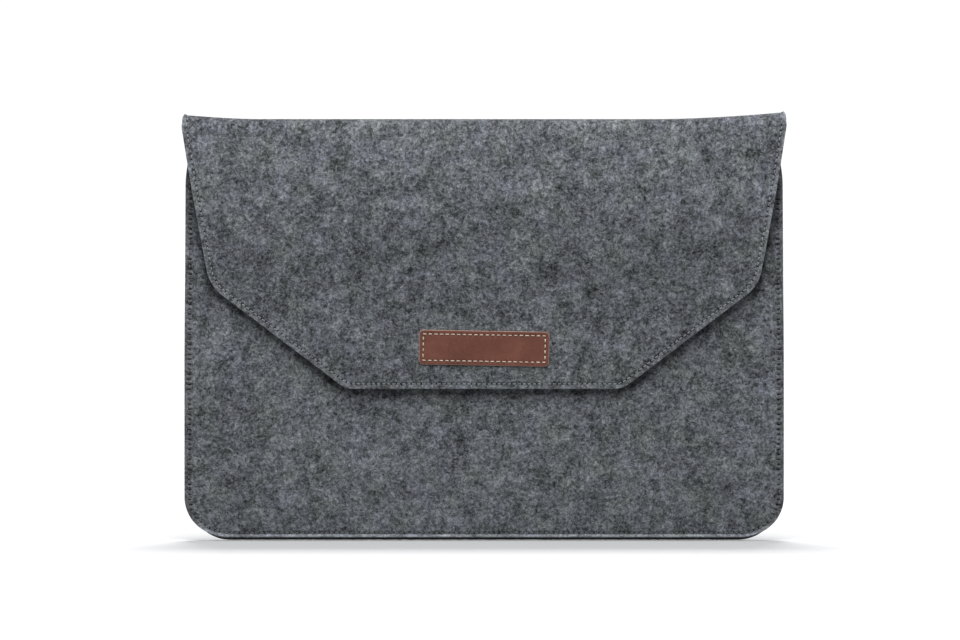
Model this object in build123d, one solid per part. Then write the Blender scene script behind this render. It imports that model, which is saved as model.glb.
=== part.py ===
"""Felt laptop sleeve for a 13 inch laptop, with an envelope flap and hook-and-loop closure.

A front and a back panel, each of thick felt with a thin brushed lining, are sewn together
along the sides and the bottom, round a pocket that is open at the top. The back panel runs
on over the mouth as a narrow fold and comes down in front as a six-sided flap. The flap
carries a stitched leather label, and two hook patches that press onto two loop patches.

Frame, in millimetres: +X to the right as the flap is seen, +Y to the back, +Z up. The origin
is the middle of the bottom edge, on the seam plane where the two linings meet.
"""

import math
import os

from build123d import *

# Cloth
FELT = 2.5  # thickness of the outer felt
LINING = 1.0  # thickness of the brushed lining
WALL = FELT + LINING

# Pouch
SLEEVE_WIDTH = 345.0  # over the side seams
FOLD_HEIGHT = 243.0  # from the bottom edge to the top of the fold
CORNER_RADIUS = 25.0  # bottom corners
SEAM_MARGIN = 6.0  # flat, sewn border between the edge and the pocket
MOUTH_DROP = 14.0  # from the top of the fold down to the front panel's edge
FRONT_DEPTH = 4.0  # pocket in front of the seam plane
FRONT_SLOPE = 8.0  # width over which the front panel rises to that depth
BACK_DEPTH = 11.0  # pocket behind the seam plane
BACK_SLOPE = 10.0  # width over which the back panel rises to that depth

# Fold over the mouth
CREASE_RADIUS = 5.0  # inside radius of each of the two creases
CREASE_AXIS_SHARE = 0.6  # hinge axis, outward and up from a crease's centre, in middle radii
FOLD_OVERHANG = 1.9  # how far each end of the fold stands out past the pouch

# Flap
FLAP_DROP = 155.5  # from the top of the fold down to the flap's lower edge
SHOULDER_DROP = 96.0  # from the top of the fold down to the flap's shoulders
SHOULDER_INSET = 16.2  # shoulders in from the ends of the fold
TIP_INSET = 94.7  # ends of the flap's lower edge in from the ends of the fold
SHOULDER_RADIUS = 25.0
TIP_RADIUS = 15.0

# Hook-and-loop closure
PATCH_WIDTH = 45.0
PATCH_HEIGHT = 20.0
PATCH_RADIUS = 2.0
PATCH_TAPE = 0.6  # woven tape under the hooks or loops
PATCH_PILE = 0.9  # height of the hooks or loops
PATCH_BORDER = 2.5  # bare tape round the pile, where the patch is sewn
LOOP_EXTRA = 4.0  # how much larger a loop patch is than a hook patch, each way
PATCH_SPACING = 136.0  # between the centres of the left and right patches
PATCH_RISE = 26.5  # patch centres above the flap's lower edge
CLOSURE_CLEARANCE = 0.3  # between the hooks and the loops

# Leather label
LABEL_WIDTH = 75.0
LABEL_HEIGHT = 20.0
LABEL_RADIUS = 2.5
LABEL_THICKNESS = 1.2
LABEL_RISE = 23.6  # label's centre above the flap's lower edge
LABEL_TILT = 1.0  # degrees, sewn on slightly askew

# Thread
SEAM_INSET = 3.0  # seam lines from the cloth's edge
THREAD_WIDTH = 0.7
THREAD_HEIGHT = 0.4
LABEL_SEAM_INSET = 2.3
LABEL_STITCH = 2.1  # length of a stitch that shows on the label
LABEL_STITCH_PITCH = 3.3

# Worked out from the sizes above
MOUTH_HEIGHT = FOLD_HEIGHT - MOUTH_DROP
FOLD_WIDTH = SLEEVE_WIDTH + 2 * FOLD_OVERHANG
CREASE_HEIGHT = FOLD_HEIGHT - WALL - CREASE_RADIUS  # where both creases begin
PATCH_THICKNESS = PATCH_TAPE + PATCH_PILE
FRONT_FACE = FRONT_DEPTH + WALL  # front panel's face, in front of the seam plane
FLAP_INNER = FRONT_FACE + 2 * PATCH_THICKNESS + CLOSURE_CLEARANCE
FLAP_FACE = FLAP_INNER + WALL
FLAP_LOW = FOLD_HEIGHT - FLAP_DROP
PATCH_CENTRE = FLAP_LOW + PATCH_RISE
LABEL_CENTRE = FLAP_LOW + LABEL_RISE
FRONT_CREASE_Y = -(FLAP_INNER - CREASE_RADIUS)  # centre line of the front crease
BACK_CREASE_Y = BACK_DEPTH - CREASE_RADIUS  # centre line of the rear crease
CREASE_AXIS = CREASE_AXIS_SHARE * (CREASE_RADIUS + WALL / 2)  # outward and up from its centre
BEYOND = 2 * FOLD_HEIGHT  # far enough above the sleeve for a shape that is cut to height

os.makedirs("parts", exist_ok=True)


def at_depth(y):
    """The XZ plane moved to a given Y, so that a sketch's Y runs up along Z."""
    return Plane.XZ.offset(-y)


def slab(sketch, y_from, y_to):
    """A sketch of the front view, thickened from one Y to another."""
    low, high = sorted((y_from, y_to))
    return extrude(at_depth(high) * sketch, amount=high - low)


def below(shape, height):
    """What lies below a height."""
    size = 4 * BEYOND
    return shape & Pos(0, 0, height - size / 2) * Box(size, size, size)


def upright_band(width, low, high):
    """A rectangle of the front view between two heights."""
    return Pos(0, (low + high) / 2) * Rectangle(width, high - low)


def pouch_outline(inset):
    """The pouch's outline, moved in from its edge. It stays open-ended at the top."""
    half, radius = SLEEVE_WIDTH / 2 - inset, CORNER_RADIUS - inset
    with BuildSketch() as sketch:
        with Locations((0, inset)):
            Rectangle(2 * half, BEYOND, align=(Align.CENTER, Align.MIN))
        fillet(sketch.vertices().group_by(Axis.Y)[0], radius)
    return sketch.sketch


def flap_outline(inset):
    """The flap's outline, moved in from its edge. It runs on above the creases, at the same
    slant, and is cut to height later."""
    half = FOLD_WIDTH / 2
    shoulder = (half - SHOULDER_INSET, FOLD_HEIGHT - SHOULDER_DROP)
    tip = (half - TIP_INSET, FLAP_LOW)
    slant = SHOULDER_INSET / (CREASE_HEIGHT - shoulder[1])
    top = (half + slant * (BEYOND - CREASE_HEIGHT), BEYOND)
    right = [top, shoulder, tip]
    with BuildSketch() as sketch:
        Polygon(*right, *[(-x, z) for x, z in reversed(right)], align=None)
        rows = sketch.vertices().group_by(Axis.Y)
        fillet(rows[1], SHOULDER_RADIUS)
        fillet(sketch.vertices().group_by(Axis.Y)[0], TIP_RADIUS)
    return offset(sketch.sketch, amount=-inset) if inset else sketch.sketch


def pocket_half(side, depth, slope, skin):
    """Half of the padded pouch as a solid: what lies between the seam plane and a surface
    that stands `skin` outside the pocket. Side is -1 for the front and 1 for the back."""
    spread = skin * math.tan(math.atan2(depth, slope) / 2)
    foot = pouch_outline(SEAM_MARGIN - spread)
    crown = pouch_outline(SEAM_MARGIN + slope - spread)
    sections = [at_depth(side * skin) * foot, at_depth(side * (skin + depth)) * crown]
    half = loft(sections, ruled=True)
    if skin:
        half += slab(pouch_outline(0), 0, side * skin)
    return half


def panel(side, depth, slope, inner, outer, height):
    """One layer of the front or back panel, between two skins, cut off at a height."""
    layer = pocket_half(side, depth, slope, outer) - pocket_half(side, depth, slope, inner)
    return below(layer, height)


def front_panel(inner, outer):
    return panel(-1, FRONT_DEPTH, FRONT_SLOPE, inner, outer, MOUTH_HEIGHT)


def back_panel(inner, outer):
    """A layer of the back panel. Above the mouth it is flat and as wide as the fold."""
    layer = panel(1, BACK_DEPTH, BACK_SLOPE, inner, outer, MOUTH_HEIGHT)
    neck = upright_band(FOLD_WIDTH, MOUTH_HEIGHT, CREASE_HEIGHT)
    return layer + slab(neck, BACK_DEPTH + inner, BACK_DEPTH + outer)


def crease(inner, outer, front):
    """A quarter bend of one layer, between two skins, over the full width of the fold."""
    centre_y = FRONT_CREASE_Y if front else BACK_CREASE_Y
    start = 90 if front else 0
    with BuildSketch(Plane.YZ.offset(-FOLD_WIDTH / 2)) as section:
        with BuildLine():
            arc = [
                CenterArc((centre_y, CREASE_HEIGHT), CREASE_RADIUS + skin, start, 90)
                for skin in (outer, inner)
            ]
            Line(arc[0] @ 0, arc[1] @ 0)
            Line(arc[0] @ 1, arc[1] @ 1)
        make_face()
    return extrude(section.sketch, amount=FOLD_WIDTH)


def fold_strip(inner, outer):
    """The flat strip of one layer over the mouth, between the two creases."""
    base = CREASE_HEIGHT + CREASE_RADIUS
    length = BACK_CREASE_Y - FRONT_CREASE_Y
    strip = Box(FOLD_WIDTH, length, outer - inner, align=(Align.CENTER, Align.MIN, Align.MIN))
    return Pos(0, FRONT_CREASE_Y, base + inner) * strip


def flap(inner, outer):
    return below(slab(flap_outline(0), -FLAP_INNER - inner, -FLAP_INNER - outer), CREASE_HEIGHT)


def seam_line(outline, face_y, away, height):
    """Thread along an outline's edge, lying on a cloth face, on the side that away points to."""
    band = outline(SEAM_INSET - THREAD_WIDTH / 2) - outline(SEAM_INSET + THREAD_WIDTH / 2)
    return below(slab(band, face_y, face_y + away * THREAD_HEIGHT), height)


def mouth_thread():
    """Thread along the front panel's upper edge, from one crown corner to the other."""
    length = SLEEVE_WIDTH - 2 * (SEAM_MARGIN + FRONT_SLOPE)
    middle = MOUTH_HEIGHT - SEAM_INSET
    line = upright_band(length, middle - THREAD_WIDTH / 2, middle + THREAD_WIDTH / 2)
    return slab(line, -FRONT_FACE, -FRONT_FACE - THREAD_HEIGHT)


def fold_thread():
    """Thread across each end of the fold, on its upper face."""
    length = BACK_CREASE_Y - FRONT_CREASE_Y
    run = Box(THREAD_WIDTH, length, THREAD_HEIGHT, align=(Align.CENTER, Align.MIN, Align.MIN))
    reach = FOLD_WIDTH / 2 - SEAM_INSET
    ends = [Pos(x, FRONT_CREASE_Y, FOLD_HEIGHT) * run for x in (-reach, reach)]
    return Compound(children=ends)


def patch(x, face_y, away, extra):
    """A closure patch on a cloth face: sewn tape with a pile of hooks or loops on it."""
    width, height = PATCH_WIDTH + extra, PATCH_HEIGHT + extra
    border = 2 * PATCH_BORDER
    tape = Pos(x, PATCH_CENTRE) * RectangleRounded(width, height, PATCH_RADIUS)
    pile = Pos(x, PATCH_CENTRE) * Rectangle(width - border, height - border)
    top = face_y + away * PATCH_TAPE
    return slab(tape, face_y, top) + slab(pile, top, top + away * PATCH_PILE)


def patch_thread(x, face_y, away, extra):
    """Thread round a patch, on the bare border of its tape."""
    width, height = PATCH_WIDTH + extra, PATCH_HEIGHT + extra
    frames = [
        Pos(x, PATCH_CENTRE) * Rectangle(width - 2 * inset, height - 2 * inset)
        for inset in ((PATCH_BORDER - THREAD_WIDTH) / 2, (PATCH_BORDER + THREAD_WIDTH) / 2)
    ]
    top = face_y + away * PATCH_TAPE
    return slab(frames[0] - frames[1], top, top + away * THREAD_HEIGHT)


def on_label(sketch):
    """A sketch round the label's centre, moved to its place and tilt on the flap."""
    return Pos(0, LABEL_CENTRE) * Rot(0, 0, -LABEL_TILT) * sketch


def leather_label():
    shape = on_label(RectangleRounded(LABEL_WIDTH, LABEL_HEIGHT, LABEL_RADIUS))
    return slab(shape, -FLAP_FACE, -FLAP_FACE - LABEL_THICKNESS)


def stitch_places(length):
    """Centres of evenly spaced stitches along a seam of a given length."""
    count = round(length / LABEL_STITCH_PITCH)
    return [(i + 0.5) * length / count - length / 2 for i in range(count)]


def label_stitches():
    """The stitches that show on the label, one solid each, on all four sides."""
    long, short = LABEL_WIDTH - 2 * LABEL_SEAM_INSET, LABEL_HEIGHT - 2 * LABEL_SEAM_INSET
    places = [(x, side * short / 2, 0) for side in (-1, 1) for x in stitch_places(long)]
    places += [(side * long / 2, z, 90) for side in (-1, 1) for z in stitch_places(short)]
    face = -FLAP_FACE - LABEL_THICKNESS
    stitch = SlotOverall(LABEL_STITCH, THREAD_WIDTH)
    made = [
        slab(on_label(Pos(x, z) * Rot(0, 0, turn) * stitch), face, face - THREAD_HEIGHT)
        for x, z, turn in places
    ]
    return Compound(children=made)


def pouch_parts():
    """Everything that stays still: both panels, their seams and the loop patches."""
    parts = {
        "front_lining": front_panel(0, LINING),
        "front_felt": front_panel(LINING, WALL),
        "back_lining": back_panel(0, LINING),
        "back_felt": back_panel(LINING, WALL),
        "rear_crease_lining": crease(0, LINING, front=False),
        "rear_crease_felt": crease(LINING, WALL, front=False),
        "front_seam_thread": seam_line(pouch_outline, -WALL, -1, MOUTH_HEIGHT),
        "back_seam_thread": seam_line(pouch_outline, WALL, 1, MOUTH_HEIGHT),
        "mouth_thread": mouth_thread(),
    }
    for name, side in (("left", -1), ("right", 1)):
        place = (side * PATCH_SPACING / 2, -FRONT_FACE, -1, LOOP_EXTRA)
        parts[f"loop_patch_{name}"] = patch(*place)
        parts[f"loop_thread_{name}"] = patch_thread(*place)
    return parts


def fold_parts():
    """The strip over the mouth, between the creases."""
    return {
        "fold_lining": fold_strip(0, LINING),
        "fold_felt": fold_strip(LINING, WALL),
        "fold_thread": fold_thread(),
    }


def flap_parts():
    """The flap with its label, its seams and the hook patches."""
    parts = {
        "front_crease_lining": crease(0, LINING, front=True),
        "front_crease_felt": crease(LINING, WALL, front=True),
        "flap_lining": flap(0, LINING),
        "flap_felt": flap(LINING, WALL),
        "flap_outer_thread": seam_line(flap_outline, -FLAP_FACE, -1, CREASE_HEIGHT),
        "flap_inner_thread": seam_line(flap_outline, -FLAP_INNER, 1, CREASE_HEIGHT),
        "leather_label": leather_label(),
        "label_stitches": label_stitches(),
    }
    for name, side in (("left", -1), ("right", 1)):
        place = (side * PATCH_SPACING / 2, -FLAP_INNER, 1, 0)
        parts[f"hook_patch_{name}"] = patch(*place)
        parts[f"hook_thread_{name}"] = patch_thread(*place)
    return parts


for node, shape in {**pouch_parts(), **fold_parts(), **flap_parts()}.items():
    export_step(shape, f"parts/{node}.step")
    print(node, round(shape.volume), "mm3")

AXIS_HEIGHT = CREASE_HEIGHT + CREASE_AXIS
print("rear crease hinges at Y", round(BACK_CREASE_Y + CREASE_AXIS, 3), "Z", round(AXIS_HEIGHT, 3))
print("front crease hinges at Y", round(FRONT_CREASE_Y - CREASE_AXIS, 3), "Z", round(AXIS_HEIGHT, 3))
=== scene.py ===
"""The looks of the felt laptop sleeve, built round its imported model.

Each layer of cloth is cut flat, as on a table, then laid over the sleeve's shape. A point of
the flat cloth has x across the sleeve and v up it. The front panel's v is the height. The
back's v starts at the bottom edge and runs up and over the fold, and the flap's v goes on from
there with the other sign, so that it is highest at the fold and lowest at the tip. A third
number, h, is the height above the face where felt meets lining.
"""

import math

import bmesh
import bpy
import numpy as np
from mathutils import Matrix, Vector
from mathutils.geometry import delaunay_2d_cdt


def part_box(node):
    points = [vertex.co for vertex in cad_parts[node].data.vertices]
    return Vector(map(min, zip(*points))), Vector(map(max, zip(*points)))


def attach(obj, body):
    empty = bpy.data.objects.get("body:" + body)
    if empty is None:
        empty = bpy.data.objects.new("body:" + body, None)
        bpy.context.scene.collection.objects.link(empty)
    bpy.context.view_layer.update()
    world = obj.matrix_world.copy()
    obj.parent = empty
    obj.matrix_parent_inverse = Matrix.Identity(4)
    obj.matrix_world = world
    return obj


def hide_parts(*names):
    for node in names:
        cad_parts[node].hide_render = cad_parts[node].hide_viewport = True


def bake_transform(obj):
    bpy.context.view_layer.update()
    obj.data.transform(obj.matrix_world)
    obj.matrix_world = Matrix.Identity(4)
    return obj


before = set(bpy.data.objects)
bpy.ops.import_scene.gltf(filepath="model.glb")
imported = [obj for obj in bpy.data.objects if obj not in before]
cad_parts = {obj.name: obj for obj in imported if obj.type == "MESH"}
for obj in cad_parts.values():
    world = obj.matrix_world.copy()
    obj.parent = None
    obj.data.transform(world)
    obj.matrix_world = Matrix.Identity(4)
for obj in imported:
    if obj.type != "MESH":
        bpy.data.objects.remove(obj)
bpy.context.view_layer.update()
MM = 0.001

# ---- sizes from the frame

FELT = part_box("fold_felt")[1].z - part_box("fold_felt")[0].z
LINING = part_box("fold_lining")[1].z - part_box("fold_lining")[0].z
FOLD_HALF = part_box("fold_felt")[1].x
CREASE_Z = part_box("back_felt")[1].z
REAR_CENTRE, FRONT_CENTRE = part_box("fold_felt")[1].y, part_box("fold_felt")[0].y
MOUTH_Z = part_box("front_felt")[1].z
POUCH_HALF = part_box("front_felt")[1].x
BACK_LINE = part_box("back_lining")[1].y  # where felt meets lining, on the flat of the back
FRONT_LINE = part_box("front_lining")[0].y  # the same on the front panel
FLAP_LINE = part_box("flap_lining")[0].y  # the same on the flap
TIP_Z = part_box("flap_felt")[0].z
LOOP_BOX, HOOK_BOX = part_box("loop_patch_right"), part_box("hook_patch_right")
LABEL_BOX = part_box("leather_label")

# ---- sizes of the cloth

CORNER_RADIUS = 25 * MM  # the pouch's bottom corners
SHOULDER = (158.2 * MM, 147 * MM)  # the flap's outline: half width and height
TIP_HALF = 79.7 * MM
SHOULDER_RADIUS = 24 * MM
TIP_RADIUS = 15 * MM
FLAP_TOP_RADIUS = 20 * MM
BACK_TAPER = 12 * MM  # height over which the back narrows below the fold
BACK_TAPER_RADII = (30 * MM, 60 * MM)
BACK_LOW, FRONT_LOW = 0.75 * MM, 1.1 * MM  # heights of the felts' lower edges
FRONT_TRIM = 0.3 * MM  # how far the front felt is cut inside the pouch's sides
SEAM_INSET = 3.0 * MM
SEAM_PITCH = 2.9 * MM
EDGE_ROUND = 0.6 * MM  # rounding of a cut edge of felt
FLANGE = 5 * MM  # flat border outside the pocket
FRONT_RISE = 58 * MM  # width over which the front panel rises from its border
BACK_RISE = 24 * MM

BEND = LINING + 5 * MM  # radius of a crease, where felt meets lining
ARC = BEND * math.pi / 2
STRIP = REAR_CENTRE - FRONT_CENTRE
S_REAR = CREASE_Z  # way along the long cloth to where the rear crease starts
S_TOP = S_REAR + ARC
S_FRONT = S_TOP + STRIP
S_FLAP = S_FRONT + ARC  # where the flap hangs free
S_SPLIT = (S_TOP + S_FRONT) / 2  # the fold's middle, where its two pieces meet
PATCH_Z = (LOOP_BOX[0].z + LOOP_BOX[1].z) / 2
PATCH_X = (LOOP_BOX[0].x + LOOP_BOX[1].x) / 2
LABEL_Z = (LABEL_BOX[0].z + LABEL_BOX[1].z) / 2

# ---- how the cloth lies

# A pair whose name ends in RAMP is where a change starts and where it is complete, in metres.
RIGHT_EAR, LEFT_EAR = 4.2 * MM, 2.6 * MM  # how far the ends of the fold stand up
RIGHT_EAR_FROM, LEFT_EAR_FROM = 100 * MM, 130 * MM  # how far out that starts
EAR_TIP, EAR_TIP_WIDTH = 0.9 * MM, 4 * MM  # a little more at the very ends
FOLD_RAISE = 0.4 * MM  # how far all of the fold is above its place in CAD
REAR_SHARE = 0.35  # share of the fold's lift that is reached at the rear crease
REAR_LIFT, FLAP_LIFT = 40 * MM, 45 * MM  # lengths of back and of flap that are lifted too
PINCH_FROM = 118 * MM  # how far out the fold starts to get thinner
PINCH_BACK, PINCH_FRONT = 3.5 * MM, 2.5 * MM  # how far its ends move in from each face
BACK_TOP = 0.222  # height where the back starts to follow the fold's own thickness

WAVE = 0.12 * MM  # strength of the cloth's unevenness
WAVES = (  # share, angle for each metre across and up, and how much the seed shifts it
    (1.0, 37, 21, 1.0),
    (1.0, -24, 46, 2.3),
    (0.7, 71, -33, 1.7),
    (0.5, 93, 88, 0.6),
)
CALM = 22 * MM  # height above and below the patches that they hold flat

SEAM_LEAN, LEAN_RAMP = 6.5 * MM, (0.12, 0.24)  # how far back the side seams lean
FRONT_POWER = 2.1  # makes the front panel rise quickly near its border
LIP = 3.4 * MM  # border that is turned, outside the seam
LIP_BACK, LIP_FORWARD = 2.3 * MM, 1.0 * MM  # at the sides and at the bottom
SEAM_OUT, SEAM_OUT_RAMP = 1.0 * MM, (0.005, 0.04)  # how far the side seams move outward
LIP_SIDE_RAMP, LIP_END_RAMP = (0.205, 0.229), (0.215, 0.232)  # heights where the lip ends
NARROW, NARROW_MORE = 0.45, 0.3  # how far the pouch's sides are drawn in, in millimetres
NARROW_RAMP, NARROW_END_RAMP = (0.10, 0.16), (0.212, CREASE_Z - 0.001)

BULGE = 5.2 * MM  # how far the flap swells out below the fold
BULGE_RAMP, BULGE_END_RAMP = (-0.014, 0.046), (0.042, 0.112)
SIDE_FROM, SIDE_WIDTH = 96 * MM, 62 * MM  # the flap's sides, which lie nearer the pouch
SIDE_IN, SIDE_RAMP = 2.6 * MM, (0.01, 0.08)
TIP_IN, TIP_RAMP = 0.6 * MM, (0.13, 0.147)  # and so does its lower edge
EASE_RAMP, FLAP_WAVE_RAMP = (0, 0.06), (0, 0.03)  # where the pinch ends and waves begin

rng = np.random.default_rng(7)


def smooth(t):
    t = np.clip(t, 0, 1)
    return t * t * (3 - 2 * t)


def ramp(value, start, end):
    """0 up to start, 1 from end on, and smooth between."""
    return smooth((value - start) / (end - start))


def unit(vectors):
    return vectors / np.linalg.norm(vectors, axis=-1, keepdims=True)


def add_object(name, data):
    made = bpy.data.objects.new(name, data)
    bpy.context.collection.objects.link(made)
    return made


# ---- shapes


def ear(x):
    """How far the fold stands up near its ends."""
    right = np.clip((x - RIGHT_EAR_FROM) / (FOLD_HALF - RIGHT_EAR_FROM), 0, None) ** 1.7
    left = np.clip((-x - LEFT_EAR_FROM) / (FOLD_HALF - LEFT_EAR_FROM), 0, None) ** 1.6
    tips = np.clip((np.abs(x) - FOLD_HALF) / EAR_TIP_WIDTH + 1, 0, None) ** 2
    return RIGHT_EAR * right + LEFT_EAR * left + EAR_TIP * tips


def pinch(x):
    """0 in the middle of the fold and 1 at its ends, where it is thinner."""
    return np.clip((np.abs(x) - PINCH_FROM) / (FOLD_HALF - PINCH_FROM), 0, None) ** 1.8


def waves(x, z, seed):
    """Slow unevenness of the cloth, within about 0.4 mm. It is flat where the patches are."""
    calm = 1 - np.exp(-(((z - PATCH_Z) / CALM) ** 2))
    total = 0
    for share, across, up, shift in WAVES:
        total = total + share * np.sin(x * across + z * up + seed * shift)
    return WAVE * total * calm


def pouch_depth(x, z):
    """How far a point lies inside the pouch's outline."""
    qx, qz = np.abs(x) - (POUCH_HALF - CORNER_RADIUS), CORNER_RADIUS - z
    far = np.hypot(np.clip(qx, 0, None), np.clip(qz, 0, None))
    return CORNER_RADIUS - (far + np.clip(np.maximum(qx, qz), None, 0))


def seam_line(z):
    """Where the two linings meet at the side seams, which lean back under the fold."""
    return SEAM_LEAN * ramp(z, *LEAN_RAMP)


def lip(x, z):
    """How the border outside the seam is turned: the shift of x and of y. It turns back along
    the sides, which brings the seam nearer the outline, and a little forward at the bottom."""
    depth = pouch_depth(x, z)
    qx = np.clip(np.abs(x) - (POUCH_HALF - CORNER_RADIUS), 1e-9, None)
    qz = np.clip(CORNER_RADIUS - z, 0, None)
    side = qx**2 / (qx**2 + qz**2) * (1 - ramp(z, *LIP_SIDE_RAMP))
    edge = np.clip(1 - depth / LIP, 0, 1)
    outward = SEAM_OUT * side * (1 - edge) * (1 - ramp(depth, *SEAM_OUT_RAMP))
    back = LIP_BACK * side * edge**1.2 - LIP_FORWARD * (1 - side) * edge**1.3
    return np.sign(x) * outward, back * (1 - ramp(z, *LIP_END_RAMP))


def narrow(x, z):
    """x moved in at the pouch's sides: more where the flap lies over them."""
    inward = (NARROW + NARROW_MORE * ramp(z, *NARROW_RAMP)) * MM * (1 - ramp(z, *NARROW_END_RAMP))
    return x * (1 - inward / POUCH_HALF)


def front_face(x, z):
    """The cloth of the front panel."""
    inside = np.clip((pouch_depth(x, z) - FLANGE) / FRONT_RISE, 0, 1)
    rise = 1 - (1 - inside) ** FRONT_POWER
    y = (seam_line(z) - LINING) * (1 - rise) + FRONT_LINE * rise
    outward, back = lip(x, z)
    return np.stack([narrow(x, z) + outward, y + back + waves(x, z, 1.0) * rise, z], -1)


def long_face(x, s):
    """The cloth of the back, the fold and the flap, s along it from the bottom of the back."""
    ends = pinch(x)
    back_y = BACK_LINE - PINCH_BACK * ends
    front_y = FLAP_LINE + PINCH_FRONT * ends
    rear, front = back_y - BEND, front_y + BEND
    # back
    z = s
    rise = smooth((pouch_depth(x, z) - FLANGE) / BACK_RISE)
    y = (seam_line(z) + LINING) * (1 - rise) + BACK_LINE * rise
    top = ramp(z, BACK_TOP, CREASE_Z)
    y = y * (1 - top) + back_y * top + waves(x, z, 4.0) * rise * (1 - top)
    outward, turned = lip(x, z)
    on_pouch = s < S_REAR
    x = np.where(on_pouch, narrow(x, z) + outward, x)
    y = y + np.where(on_pouch, turned, 0)
    # rear crease
    a = np.clip((s - S_REAR) / BEND, 0, math.pi / 2)
    y = np.where(s > S_REAR, rear + BEND * np.cos(a), y)
    z = np.where(s > S_REAR, CREASE_Z + BEND * np.sin(a), z)
    # strip over the mouth
    t = np.clip((s - S_TOP) / STRIP, 0, 1)
    y = np.where(s > S_TOP, rear + (front - rear) * t, y)
    # front crease
    a = np.clip((s - S_FRONT) / BEND, 0, math.pi / 2)
    y = np.where(s > S_FRONT, front - BEND * np.sin(a), y)
    z = np.where(s > S_FRONT, CREASE_Z + BEND * np.cos(a), z)
    # flap
    fall = np.clip(s - S_FLAP, 0, None)
    at_crease = ramp(0, *BULGE_RAMP)
    swell = (ramp(fall, *BULGE_RAMP) - at_crease) / (1 - at_crease)
    bulge = BULGE * swell * (1 - ramp(fall, *BULGE_END_RAMP))
    side = np.clip((np.abs(x) - SIDE_FROM) / SIDE_WIDTH, 0, None) ** 1.6
    inward = SIDE_IN * side * ramp(fall, *SIDE_RAMP) + TIP_IN * ramp(fall, *TIP_RAMP)
    ease = ends * PINCH_FRONT * ramp(fall, *EASE_RAMP)
    flap_y = front_y - bulge * (1 - 0.5 * np.clip(side, 0, 1)) + inward - ease
    flap_y = flap_y + waves(x, CREASE_Z - fall, 2.0) * ramp(fall, *FLAP_WAVE_RAMP)
    y = np.where(s > S_FLAP, flap_y, y)
    z = np.where(s > S_FLAP, CREASE_Z - fall, z)
    # the fold's raised ends, and the cloth that follows them
    lift = REAR_SHARE * ramp(s, S_REAR - REAR_LIFT, S_REAR)
    lift = lift + (1 - REAR_SHARE) * ramp(s, S_TOP, S_FRONT)
    lift = lift * (1 - ramp(s, S_FRONT, S_FLAP + FLAP_LIFT))
    return np.stack([x, y, z + (ear(x) + FOLD_RAISE) * lift], -1)


def placed(face, x, v, h, way):
    """Points h above a face, way being 1 where x and v turn the face outward, or -1."""
    step = 0.05 * MM
    across = face(x + step, v) - face(x - step, v)
    up = face(x, v + step) - face(x, v - step)
    normal = unit(np.cross(across, up) * way)
    return face(x, v) + normal * np.asarray(h)[..., None]


def on_front(x, v, h):
    return placed(front_face, x, v, h, 1)


def on_back(x, v, h):
    return placed(long_face, x, v, h, -1)


def on_flap(x, v, h):
    return placed(lambda a, b: long_face(a, -b), x, v, h, 1)


def flap_v(z):
    return -(S_FLAP + CREASE_Z - z)


# ---- outlines of the cloth


def rounded(corners, radii, step):
    """Points and outward normals along a path through corners, each rounded. The path runs
    clockwise, and ends where the last corner's arc does."""
    points, normals = [], []
    start = np.array(corners[0], float)
    for i in range(1, len(corners) - 1):
        corner, after = np.array(corners[i], float), np.array(corners[i + 1], float)
        way_in = corner - np.array(corners[i - 1], float)
        way_in /= np.linalg.norm(way_in)
        way_out = (after - corner) / np.linalg.norm(after - corner)
        turn = math.acos(np.clip(way_in @ way_out, -1, 1))
        hand = -np.sign(way_in[0] * way_out[1] - way_in[1] * way_out[0])
        tangent = radii[i - 1] * math.tan(turn / 2)
        outward = np.array([-way_in[1], way_in[0]])
        end = corner - way_in * tangent
        count = max(2, round(np.linalg.norm(end - start) / step))
        for k in range(count):
            points.append(start + (end - start) * k / count)
            normals.append(outward)
        centre = end - outward * radii[i - 1] * hand
        count = max(3, round(radii[i - 1] * turn / step))
        for k in range(count + (i == len(corners) - 2)):
            a = -turn * hand * k / count
            cos, sin = math.cos(a), math.sin(a)
            normal = np.array(
                [outward[0] * cos - outward[1] * sin, outward[0] * sin + outward[1] * cos]
            )
            points.append(centre + normal * radii[i - 1] * hand)
            normals.append(normal)
        start = corner + way_out * tangent
    return np.array(points), np.array(normals)


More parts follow.
